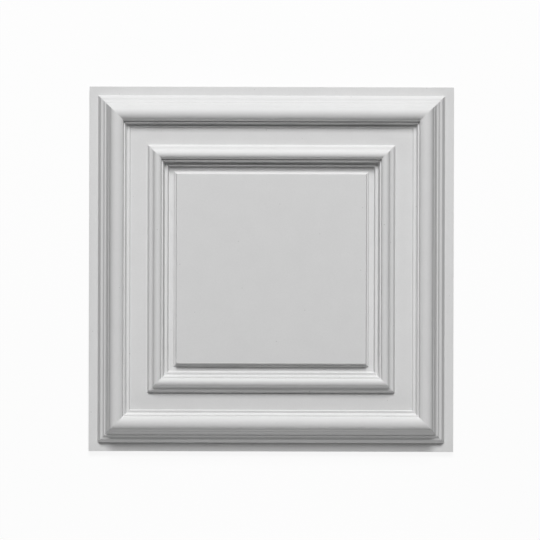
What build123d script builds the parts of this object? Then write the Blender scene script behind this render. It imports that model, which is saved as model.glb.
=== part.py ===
"""Coffered ceiling tile, cast in one piece. A flat flange runs round its edge, and inside it the face steps up
to an outer moulding, a level field, an inner moulding, a sunk floor and a raised centre panel.
It lies on its flat back, face up, with its origin at the centre of the back."""

import os

from build123d import *

# The whole tile
tile_side = 595.0
arris_radius = 0.5

# The flange that lies on the ceiling grid
flange_thickness = 8.0
flange_width = 14.5

# The outer moulding's outer flank, from the flange up
outer_base_run = 5.5
outer_base_rise = 10.2
outer_ledge_run = 4.2
outer_ledge_rise = 1.5
outer_step_run = 2.9
outer_step_rise = 3.5
outer_fillet_run = 1.5
outer_fillet_rise = 0.2
outer_cove_run = 5.4
outer_cove_rise = 9.4
outer_cove_hollow = 0.6
outer_quirk_run = 1.4
outer_quirk_rise = 0.9
outer_neck_run = 1.5
outer_neck_rise = 5.0

# The outer moulding's crown and inner flank, down to the field
outer_crown_radius = 12.0
outer_crown_rise = 7.6
outer_crown_fall = 5.9
outer_drop_run = 0.6
outer_drop_fall = 5.4
outer_shelf_run = 2.3
outer_shelf_rise = 0.4
outer_hollow_run = 3.0
outer_hollow_fall = 6.9
outer_hollow_depth = 0.75
outer_lip_run = 3.8
outer_lip_rise = 0.8
outer_toe_run = 1.0
outer_toe_fall = 2.0

# The level field between the two mouldings
field_width = 27.8

# The inner moulding's outer flank, up from the field
inner_base_run = 3.5
inner_base_rise = 6.7
inner_ledge_run = 3.0
inner_ledge_rise = 1.0
inner_cove_run = 4.0
inner_cove_rise = 3.7
inner_cove_hollow = 0.5
inner_neck_run = 0.6
inner_neck_rise = 1.9

# The inner moulding's crown and inner flank, down to the floor
inner_crown_radius = 6.5
inner_crown_rise = 4.2
inner_crown_fall = 3.6
inner_drop_run = 0.4
inner_drop_fall = 4.7
inner_shelf_run = 2.4
inner_shelf_rise = 0.4
inner_hollow_run = 2.6
inner_hollow_fall = 9.6
inner_hollow_depth = 0.6
inner_lip_run = 4.2
inner_lip_rise = 0.8
inner_toe_run = 1.7
inner_toe_fall = 5.6

# The sunk floor and the edge of the raised panel
floor_width = 7.9
panel_step_run = 1.3
panel_step_rise = 2.4
panel_bevel_run = 2.5
panel_bevel_rise = 1.0
panel_riser_run = 1.4
panel_riser_rise = 6.6
panel_margin = 6.0


def straight(run, rise):
    """A straight member of the section."""
    return lambda start: Line(start, start + Vector(run, rise))


def hollow(run, rise, depth):
    """A concave member, scooped this deep below its chord."""
    return lambda start: SagittaArc(start, start + Vector(run, rise), -depth)


def crown_run(radius, drop):
    """How far a crown of this radius runs, from its top to where it has dropped that much."""
    return (radius**2 - (radius - drop) ** 2) ** 0.5


def crown(radius, rise, fall):
    """A round member of one radius, which climbs by its rise to the top and comes down by its fall."""

    def arc(start):
        top = start + Vector(crown_run(radius, rise), rise)
        end = top + Vector(crown_run(radius, fall), -fall)
        return ThreePointArc(start, top, end)

    return arc


def end_to_end(members):
    """The members' edges in a row, from the back's outer corner at (0, 0)."""
    edges = []
    point = Vector(0, 0)
    for member in members:
        edges.append(member(point))
        point = edges[-1] @ 1
    return edges


def face_members():
    """The members of the face, from the tile's edge inwards to the panel."""
    flange = [straight(0, flange_thickness), straight(flange_width, 0)]
    outer_moulding = [
        straight(outer_base_run, outer_base_rise),
        straight(outer_ledge_run, outer_ledge_rise),
        straight(outer_step_run, outer_step_rise),
        straight(outer_fillet_run, outer_fillet_rise),
        hollow(outer_cove_run, outer_cove_rise, outer_cove_hollow),
        straight(outer_quirk_run, outer_quirk_rise),
        straight(outer_neck_run, outer_neck_rise),
        crown(outer_crown_radius, outer_crown_rise, outer_crown_fall),
        straight(outer_drop_run, -outer_drop_fall),
        straight(outer_shelf_run, outer_shelf_rise),
        hollow(outer_hollow_run, -outer_hollow_fall, outer_hollow_depth),
        straight(outer_lip_run, outer_lip_rise),
        straight(outer_toe_run, -outer_toe_fall),
    ]
    field = [straight(field_width, 0)]
    inner_moulding = [
        straight(inner_base_run, inner_base_rise),
        straight(inner_ledge_run, inner_ledge_rise),
        hollow(inner_cove_run, inner_cove_rise, inner_cove_hollow),
        straight(inner_neck_run, inner_neck_rise),
        crown(inner_crown_radius, inner_crown_rise, inner_crown_fall),
        straight(inner_drop_run, -inner_drop_fall),
        straight(inner_shelf_run, inner_shelf_rise),
        hollow(inner_hollow_run, -inner_hollow_fall, inner_hollow_depth),
        straight(inner_lip_run, inner_lip_rise),
        straight(inner_toe_run, -inner_toe_fall),
    ]
    panel = [
        straight(floor_width, 0),
        straight(panel_step_run, panel_step_rise),
        straight(panel_bevel_run, panel_bevel_rise),
        straight(panel_riser_run, panel_riser_rise),
        straight(panel_margin, 0),
    ]
    return flange + outer_moulding + field + inner_moulding + panel


def side_section():
    """The closed section of one side of the tile, with soft arrises, and its inner end on the panel."""
    edges = end_to_end(face_members())
    end = edges[-1] @ 1
    edges.append(Line(end, Vector(end.X, 0)))
    edges.append(Line(Vector(end.X, 0), Vector(0, 0)))
    section = make_face(edges)
    corners = [corner for corner in section.vertices() if corner.Y > 0 and corner.X < end.X]
    return fillet(corners, arris_radius), end


def ceiling_tile():
    """Four mitred sides of the one section, closed by the panel's middle."""
    section, panel_edge = side_section()
    half = tile_side / 2
    across = Plane(origin=(-half, -half, 0), x_dir=(0, 1, 0), z_dir=(1, 0, 0))
    bar = extrude(across * section, tile_side)
    quarter = make_face(Polyline((0, 0), (-half, -half), (half, -half), close=True))
    side = bar & extrude(quarter, tile_side)
    middle_side = tile_side - 2 * panel_edge.X
    tile = extrude(Rectangle(middle_side, middle_side), panel_edge.Y)
    for turn in (0, 90, 180, 270):
        tile += Rot(0, 0, turn) * side
    return tile


os.makedirs("parts", exist_ok=True)
export_step(ceiling_tile(), "parts/ceiling_tile.step")
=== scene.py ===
"""Coffered ceiling tile of primed moulding foam, face up on a pale floor and seen from straight above."""

import bpy
import numpy as np
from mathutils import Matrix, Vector


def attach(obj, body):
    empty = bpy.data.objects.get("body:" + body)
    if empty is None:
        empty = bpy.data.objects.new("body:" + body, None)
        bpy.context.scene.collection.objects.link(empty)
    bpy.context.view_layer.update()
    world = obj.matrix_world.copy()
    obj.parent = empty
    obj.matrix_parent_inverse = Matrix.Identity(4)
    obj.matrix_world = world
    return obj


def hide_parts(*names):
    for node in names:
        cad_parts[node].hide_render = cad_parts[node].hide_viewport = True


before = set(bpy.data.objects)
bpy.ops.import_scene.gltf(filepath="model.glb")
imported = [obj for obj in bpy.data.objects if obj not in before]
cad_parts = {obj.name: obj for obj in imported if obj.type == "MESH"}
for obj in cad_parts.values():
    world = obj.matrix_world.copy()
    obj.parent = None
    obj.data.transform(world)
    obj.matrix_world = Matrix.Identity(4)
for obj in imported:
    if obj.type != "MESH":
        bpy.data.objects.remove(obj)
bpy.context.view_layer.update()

# The tile is one casting of rigid foam. Its face is a single section, carried round the square with mitred
# corners: flange, outer moulding, field, inner moulding, floor and the raised panel's edge.
# The mould leaves every arris slightly soft, and the outward corners of the mitres too. Sizes in millimetres.
MILLIMETRE = 0.001
TILE_HALF = 297.5
FLANGE_THICKNESS = 8.0
ARRIS_SOFTNESS = 0.3
CORNER_RADIUS = 0.7
CAP_HALF = 20.0
SAMPLE_STEP = 0.04
FLAT_STEP = 6.0
TURN_STEP = np.radians(7)


def straight(run, rise):
    """Points along a straight member, as steps from its start: equal parts of its run and rise."""
    parts = max(2, round(np.hypot(run, rise) / SAMPLE_STEP))
    along = np.arange(1, parts + 1) / parts
    return np.stack([run * along, rise * along], axis=1)


def hollow(run, rise, depth):
    """A straight member's points, sunk square to it by a parabola that is this deep at its middle."""
    points = straight(run, rise)
    length = np.hypot(run, rise)
    along = (points @ (run, rise)) / length**2
    sunk = 4 * depth * along * (1 - along)
    return points + sunk[:, None] * np.array([rise, -run]) / length


def crown(radius, rise, fall):
    """A circle's arc that climbs by its rise to the top and comes down by its fall: at an angle t from
    the vertical, its points are radius * sin t along and radius * cos t up from the circle's centre."""
    start = -np.arccos(1 - rise / radius)
    end = np.arccos(1 - fall / radius)
    parts = max(8, round((end - start) * radius / SAMPLE_STEP))
    turn = start + (end - start) * np.arange(1, parts + 1) / parts
    points = radius * np.stack([np.sin(turn), np.cos(turn)], axis=1)
    return points - radius * np.array([np.sin(start), np.cos(start)])


def end_to_end(start, members):
    """One polyline of all the members, each set on at the end of the one before."""
    points = [np.array([start], float)]
    for member in members:
        points.append(points[-1][-1] + member)
    return np.concatenate(points)


def softened(points, width):
    """Each point becomes the mean of its neighbours along the line, weighted by a bell curve of this width
    that reaches four widths each way. The line is carried on past both ends by its mirror image, which
    keeps the ends in place."""
    reach = int(4 * width / SAMPLE_STEP)
    bell = np.exp(-0.5 * (np.arange(-reach, reach + 1) * SAMPLE_STEP / width) ** 2)
    bell /= bell.sum()
    before = 2 * points[0] - points[reach:0:-1]
    after = 2 * points[-1] - points[-2 : -reach - 2 : -1]
    padded = np.concatenate([before, points, after])
    return np.stack([np.convolve(axis, bell, mode="valid") for axis in padded.T], axis=1)


def thinned(points, flat_step, turn_step):
    """Keeps the points that shape the line: spaced by flat_step on the flats, by turn_step radians round the
    bends, and closer just beside a bend, as equal parts of the three added up along the line."""
    beside_reach = 41
    beside_share = 1 / 5
    along = np.diff(points, axis=0)
    length = np.hypot(*along.T)
    heading = np.unwrap(np.arctan2(along[:, 1], along[:, 0]))
    turn = np.abs(np.diff(heading, prepend=heading[0]))
    beside = np.convolve(turn, np.ones(beside_reach) / beside_reach, mode="same")
    weight = np.cumsum(length / flat_step + (turn + beside_share * beside) / turn_step)
    weight = np.concatenate([[0], weight])
    wanted = np.linspace(0, weight[-1], int(weight[-1]) + 2)
    return np.stack([np.interp(wanted, weight, axis) for axis in points.T], axis=1)


flange = [straight(0, FLANGE_THICKNESS), straight(14.5, 0)]
outer_moulding = [
    straight(5.5, 10.2),  # riser
    straight(4.2, 1.5),  # ledge
    straight(2.9, 3.5),  # step
    straight(1.5, 0.2),  # fillet
    hollow(5.4, 9.4, 0.6),  # cove
    straight(1.4, 0.9),  # quirk
    straight(1.5, 5.0),  # neck
    crown(12.0, 7.6, 5.9),
    straight(0.6, -5.4),  # drop
    straight(2.3, 0.4),  # shelf
    hollow(3.0, -6.9, 0.75),
    straight(3.8, 0.8),  # lip
    straight(1.0, -2.0),  # toe
]
field = [straight(27.8, 0)]
inner_moulding = [
    straight(3.5, 6.7),  # riser
    straight(3.0, 1.0),  # ledge
    hollow(4.0, 3.7, 0.5),  # cove
    straight(0.6, 1.9),  # neck
    crown(6.5, 4.2, 3.6),
    straight(0.4, -4.7),  # drop
    straight(2.4, 0.4),  # shelf
    hollow(2.6, -9.6, 0.6),
    straight(4.2, 0.8),  # lip
    straight(1.7, -5.6),  # toe
]
panel_edge = [
    straight(7.9, 0),  # sunk floor
    straight(1.3, 2.4),  # step
    straight(2.5, 1.0),  # bevel
    straight(1.4, 6.6),  # riser
]

back_inner = (TILE_HALF - CAP_HALF, 0)
back = [straight(-back_inner[0], 0)]
rim_to_panel = flange + outer_moulding + field + inner_moulding + panel_edge
reached = end_to_end((0, 0), rim_to_panel)[-1][0]
panel = [straight(back_inner[0] - reached, 0)]
section = end_to_end(back_inner, back + rim_to_panel + panel)
section = thinned(softened(section, ARRIS_SOFTNESS), FLAT_STEP, TURN_STEP)


def rounded_square(side_places, corner_parts):
    """The way round the tile, as unit steps: every point is a corner of the square's inner part, slid along
    a side, plus a direction in the corner's quarter circle. Rows are (across x, across y, round x, round y)."""
    slide = np.concatenate([side_places, np.ones(corner_parts - 1)])
    quarter = np.concatenate([np.zeros(len(side_places)), np.arange(1, corner_parts) / corner_parts])
    side = np.stack([slide, -np.ones_like(slide)], axis=1)
    lean = (quarter - 1) * np.pi / 2
    bend = np.stack([np.cos(lean), np.sin(lean)], axis=1)
    quarter_turn = np.array([[0, -1], [1, 0]])
    ways = []
    for turns in range(4):
        spin = np.linalg.matrix_power(quarter_turn, turns).T
        ways.append(np.concatenate([side @ spin, bend @ spin], axis=1))
    return np.concatenate(ways)


def carried_round(section, way, radius):
    """The section's surface: at a point that lies this far in from the tile's edge, the way round is a square
    whose half width is what is left to the centre less the radius, grown by the radius. Heights stay the
    section's."""
    left = (TILE_HALF - section[:, 0] - radius)[:, None, None]
    flat = left * way[None, :, :2] + radius * way[None, :, 2:]
    height = np.broadcast_to(section[:, None, 1:], flat.shape[:2] + (1,))
    return np.concatenate([flat, height], axis=2)


def wrapped_quads(rows, columns):
    """Quads of a grid whose columns close on themselves, and one flat polygon at each end that closes the skin:
    the middle of the back and of the panel."""
    row, column = np.meshgrid(np.arange(rows - 1), np.arange(columns), indexing="ij")
    onward = (column + 1) % columns
    here, above = row * columns, (row + 1) * columns
    corners = [here + column, here + onward, above + onward, above + column]
    quads = np.stack([corner.ravel() for corner in corners], axis=1)
    first = np.arange(columns)[::-1]
    last = (rows - 1) * columns + np.arange(columns)
    return quads.tolist() + [first.tolist(), last.tolist()]


def skin(name, points, faces):
    """A smooth-shaded mesh object at the origin, from points in millimetres."""
    mesh = bpy.data.meshes.new(name)
    mesh.from_pydata((points * MILLIMETRE).tolist(), [], faces)
    mesh.shade_smooth()
    made = bpy.data.objects.new(name, mesh)
    bpy.context.collection.objects.link(made)
    return made


SIDE_PARTS = 8
CORNER_PARTS = 4
BY_THE_CORNER = 0.997

inner_places = np.linspace(-1, 1, SIDE_PARTS + 1)[1:-1]
side_places = np.concatenate([[-1, -BY_THE_CORNER], inner_places, [BY_THE_CORNER, 1]])
way = rounded_square(side_places, CORNER_PARTS)
surface = carried_round(section, way, CORNER_RADIUS)
tile = skin("tile_face", surface.reshape(-1, 3), wrapped_quads(*surface.shape[:2]))


class Link:
    """An output of a node in a tree. Arithmetic on it adds Math nodes, and node() adds any other."""

    def __init__(self, tree, socket=None):
        self.tree = tree
        self.socket = socket

    def node(self, kind, settings=None, inputs=None, output=0):
        """A new node of this kind: its settings first, then the values or links of its sockets."""
        made = self.tree.nodes.new(kind)
        for name, value in (settings or {}).items():
            setattr(made, name, value)
        for name, value in (inputs or {}).items():
            if isinstance(value, Link):
                self.tree.links.new(value.socket, made.inputs[name])
            else:
                made.inputs[name].default_value = value
        return Link(self.tree, made.outputs[output]) if len(made.outputs) else made

    def maths(self, operation, other):
        return self.node("ShaderNodeMath", {"operation": operation}, {0: self, 1: other})

    def __add__(self, other):
        return self.maths("ADD", other)

    __radd__ = __add__

    def __mul__(self, other):
        return self.maths("MULTIPLY", other)

    __rmul__ = __mul__

    def __lt__(self, other):
        return self.maths("LESS_THAN", other)


def blank_tree(owner):
    """An empty node tree on a material or the world, as a Link with no socket yet."""
    owner.use_nodes = True
    owner.node_tree.nodes.clear()
    return Link(owner.node_tree)


def grey(level):
    """An opaque grey of this level."""
    return (level, level, level, 1)


THIN_COAT = grey(0.64)
THICK_COAT = grey(0.72)
BARE_FOAM = grey(0.42)
CLOUD_SCALE = 28.0
TOOTH_SCALE = 420.0
BUBBLE_SCALE = 11.0
PINHOLE_REACH = 0.018


def primed_foam():
    """Matt sprayed primer: a pale grey, a little cloudy where the coat lies thicker, with the fine tooth of the
    spray and, about one to a hand's breadth, a pinhole where a bubble of the foam shows through. A pinhole is
    where a cell's own point is nearer than a small reach, which the clouds vary."""
    material = bpy.data.materials.new("primed_foam")
    tree = blank_tree(material)
    place = tree.node("ShaderNodeTexCoord", output="Object")

    def noise(scale):
        return tree.node("ShaderNodeTexNoise", None, {"Vector": place, "Scale": scale, "Detail": 3.0})

    def mix(share, first, second):
        inputs = {"Factor": share, "A": first, "B": second}
        return tree.node("ShaderNodeMix", {"data_type": "RGBA"}, inputs, output=2)

    cloud = noise(CLOUD_SCALE)
    tooth = noise(TOOTH_SCALE)
    flat_cells = {"voronoi_dimensions": "2D"}
    bubble = tree.node("ShaderNodeTexVoronoi", flat_cells, {"Vector": place, "Scale": BUBBLE_SCALE})
    pinhole = bubble < PINHOLE_REACH * cloud
    primer = mix(0.5 * cloud + 0.5 * tooth, THIN_COAT, THICK_COAT)
    grain = tree.node("ShaderNodeBump", None, {"Strength": 0.12, "Distance": 0.0004, "Height": tooth})
    shader = tree.node(
        "ShaderNodeBsdfPrincipled",
        None,
        {
            "Base Color": mix(0.5 * pinhole, primer, BARE_FOAM),
            "Roughness": 0.72 + 0.12 * cloud,
            "Normal": grain,
            "Specular IOR Level": 0.25,
        },
    )
    tree.node("ShaderNodeOutputMaterial", None, {"Surface": shader})
    return material


tile.data.materials.append(primed_foam())
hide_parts("ceiling_tile")
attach(tile, "root")

# The floor is a plain pale sheet that the tile lies on, a hair below its back. To the camera it is white paper,
# which keeps a faint shadow, and to the tile it is a grey that throws little light back at the mouldings' feet.
FLOOR_HALF = 10000.0
FLOOR_GAP = 0.3
EVEN_SHARE = 0.9
WHITE = grey(1.0)
LIT_PAPER = grey(0.9)
PLAIN_PAPER = grey(0.2)


def showing(tree):
    """One for the rays that show a backdrop: the camera's own, and those off gloss or through glass. Else 0."""
    seen = tree.node("ShaderNodeLightPath", output="Is Camera Ray")
    glossy = tree.node("ShaderNodeLightPath", output="Is Glossy Ray")
    through = tree.node("ShaderNodeLightPath", output="Is Transmission Ray")
    return seen + glossy + through


def pale_paper():
    """Nine parts of even white and one of the lit sheet where it shows, and a dark grey to other light."""
    material = bpy.data.materials.new("pale_paper")
    tree = blank_tree(material)
    lit = tree.node("ShaderNodeBsdfDiffuse", None, {"Color": LIT_PAPER})
    even = tree.node("ShaderNodeEmission", None, {"Color": WHITE, "Strength": 1.0})
    paper = tree.node("ShaderNodeMixShader", None, {0: EVEN_SHARE, 1: lit, 2: even})
    plain = tree.node("ShaderNodeBsdfDiffuse", None, {"Color": PLAIN_PAPER})
    both = tree.node("ShaderNodeMixShader", None, {0: showing(tree), 1: plain, 2: paper})
    tree.node("ShaderNodeOutputMaterial", None, {"Surface": both})
    return material


corners = FLOOR_HALF * np.array([[-1, -1, 0], [1, -1, 0], [1, 1, 0], [-1, 1, 0]])
floor = skin("floor", corners - (0, 0, FLOOR_GAP), [[0, 1, 2, 3]])
floor.data.materials.append(pale_paper())

# The light is one soft round lamp, high beyond the tile's upper edge, with two white cards on the other side:
# a tall one far off and a low strip near the tile. They lift the shaded flanks.
# The room is dim, and white where it shows. Places and sizes in metres.
ROOM_LIGHT = 0.02


def soft_lamp(name, place, shape, width, height, watts):
    """An area lamp at this place that faces the tile's middle and that the camera doesn't see."""
    data = bpy.data.lights.new(name, "AREA")
    data.shape = shape
    data.size = width
    data.size_y = height
    data.energy = watts
    lamp = bpy.data.objects.new(name, data)
    lamp.location = place
    lamp.rotation_mode = "QUATERNION"
    lamp.rotation_quaternion = (-Vector(place)).to_track_quat("-Z", "Y")
    lamp.visible_camera = False
    bpy.context.collection.objects.link(lamp)


soft_lamp("high_lamp", place=(0, 5.0, 5.0), shape="DISK", width=2.75, height=2.75, watts=558)
soft_lamp("tall_card", place=(0, -3.0, 0.85), shape="RECTANGLE", width=2.2, height=1.8, watts=24)
soft_lamp("low_card", place=(0, -0.6, 0.1), shape="RECTANGLE", width=0.8, height=0.15, watts=0.18)

world = bpy.data.worlds.new("dim_room")
bpy.context.scene.world = world
tree = blank_tree(world)
room = tree.node("ShaderNodeBackground", None, {"Color": WHITE, "Strength": ROOM_LIGHT})
backdrop = tree.node("ShaderNodeBackground", None, {"Color": WHITE, "Strength": 1.0})
shown = tree.node("ShaderNodeMixShader", None, {0: showing(tree), 1: room, 2: backdrop})
tree.node("ShaderNodeOutputWorld", None, {"Surface": shown})

# The camera hangs straight above the tile, a little below its middle, and looks square down on it, turned by
# a hair as the photograph is. The shift slides the picture up to frame the tile as the photograph does.
# The picture's width and middle are measured at the height of the flange's face, in metres.
PICTURE_WIDTH = 0.8812
PICTURE_MIDDLE = -0.0013
CAMERA_PLACE = (-0.0019, -0.06, 2.508)
CAMERA_TURN = np.radians(0.154)
SENSOR_WIDTH = 36.0

lens = bpy.data.cameras.new("camera")
lens.sensor_width = SENSOR_WIDTH
lens.lens = SENSOR_WIDTH * (CAMERA_PLACE[2] - FLANGE_THICKNESS * MILLIMETRE) / PICTURE_WIDTH
lens.shift_y = (PICTURE_MIDDLE - CAMERA_PLACE[1]) / PICTURE_WIDTH
camera = bpy.data.objects.new("camera", lens)
camera.location = CAMERA_PLACE
camera.rotation_euler = (0, 0, CAMERA_TURN)
bpy.context.collection.objects.link(camera)
bpy.context.scene.camera = camera
bpy.context.scene.view_settings.view_transform = "Standard"
